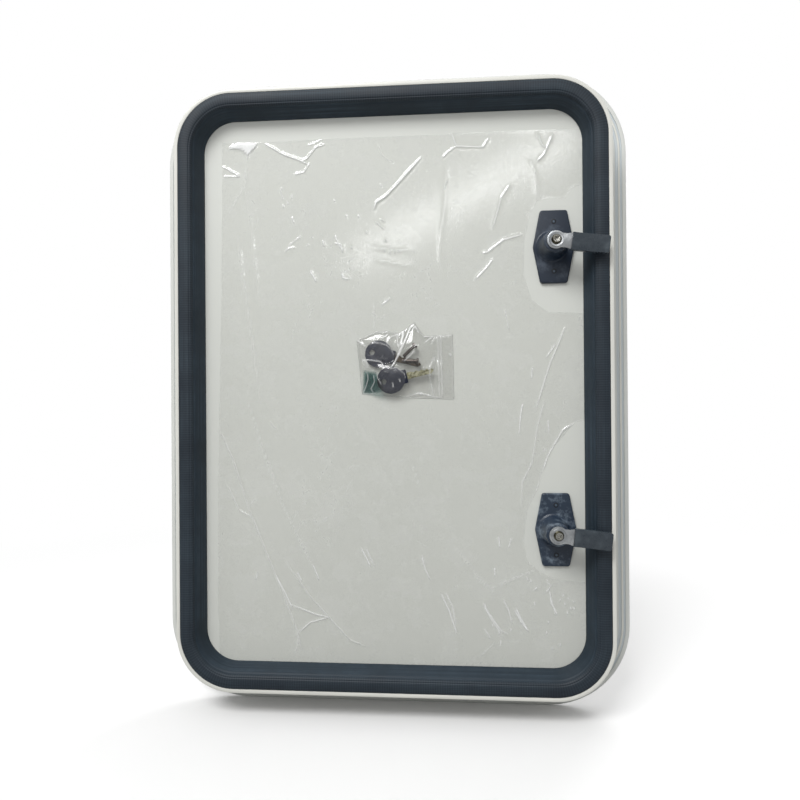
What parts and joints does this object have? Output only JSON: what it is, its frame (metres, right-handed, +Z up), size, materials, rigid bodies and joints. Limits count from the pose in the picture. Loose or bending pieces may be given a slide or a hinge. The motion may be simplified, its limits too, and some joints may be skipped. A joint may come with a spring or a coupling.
{
  "type": "camper hatch door",
  "caption": "Recessed service hatch door for a camper, hung in a flanged frame with a rubber seal and turned shut by cam locks with sleeved levers",
  "frame": {"origin": "on the back of the exterior flange, the face bonded to the vehicle's outer wall, at the middle of the bottom land", "axes": "+Z up, +X to the lock side (right, seen from inside), -Y towards the interior, +Y to the outside"},
  "size_m": [0.494, 0.0825, 0.6681],
  "materials": {
    "white_coated_aluminium": "satin powder coat",
    "seal_rubber": "matt",
    "stainless_pin": "drawn",
    "rivet_aluminium": "plain",
    "white_skin": "smooth",
    "foam_core": "cellular",
    "grey_inner_skin": "fine texture",
    "clear_film": "glossy, wrinkled",
    "black_nylon": "semi-gloss",
    "zinc_plated_steel": "zinc plate",
    "sleeve_pvc": "soft, satin",
    "bag_film": "clear, creased",
    "key_plastic": "moulded",
    "key_brass": "cut",
    "dark_screw_steel": "browned"
  },
  "bodies": {
    "frame": {"frame_extrusion": "white_coated_aluminium", "seal": "seal_rubber", "hinge_frame_half": "white_coated_aluminium", "hinge_pin": "stainless_pin", "hinge_frame_rivets": "rivet_aluminium"},
    "leaf": {"leaf_edge_frame": "white_coated_aluminium", "leaf_outer_skin": "white_skin", "leaf_core": "foam_core", "leaf_inner_skin": "grey_inner_skin", "protective_film": "clear_film", "hinge_leaf_half": "white_coated_aluminium", "hinge_leaf_rivets": "rivet_aluminium", "lock_plate_upper": "black_nylon", "lock_plate_lower": "black_nylon", "plate_rivets_upper": "black_nylon", "plate_rivets_lower": "black_nylon", "lock_housing_upper": "black_nylon", "lock_housing_lower": "black_nylon", "key_bag": "bag_film", "key_a_head": "key_plastic", "key_a_blade": "key_brass", "key_b_head": "key_plastic", "key_b_blade": "key_brass", "spare_screw_a": "dark_screw_steel", "spare_screw_b": "dark_screw_steel"},
    "lock_upper": {"spindle_upper": "zinc_plated_steel", "turn_grip_upper": "black_nylon", "key_barrel_upper": "zinc_plated_steel", "lever_upper": "zinc_plated_steel", "lever_sleeve_upper": "sleeve_pvc", "lever_washer_upper": "zinc_plated_steel", "lever_screw_upper": "zinc_plated_steel"},
    "lock_lower": {"spindle_lower": "zinc_plated_steel", "turn_grip_lower": "black_nylon", "key_barrel_lower": "zinc_plated_steel", "lever_lower": "zinc_plated_steel", "lever_sleeve_lower": "sleeve_pvc", "lever_washer_lower": "zinc_plated_steel", "lever_screw_lower": "zinc_plated_steel"}
  },
  "joints": [
    {"name": "leaf_hinge", "type": "hinge", "parent": "frame", "child": "leaf", "pos_m": [-0.216, 0.0095, 0.31515], "axis": [0, 0, 1], "range_deg": [0, 100]},
    {"name": "lock_turn_upper", "type": "hinge", "parent": "leaf", "child": "lock_upper", "pos_m": [0.1634, 0, 0.45755], "axis": [0, 1, 0], "range_deg": [0, 90]},
    {"name": "lock_turn_lower", "type": "hinge", "parent": "leaf", "child": "lock_lower", "pos_m": [0.1634, 0, 0.17275], "axis": [0, 1, 0], "range_deg": [0, 90]}
  ]
}
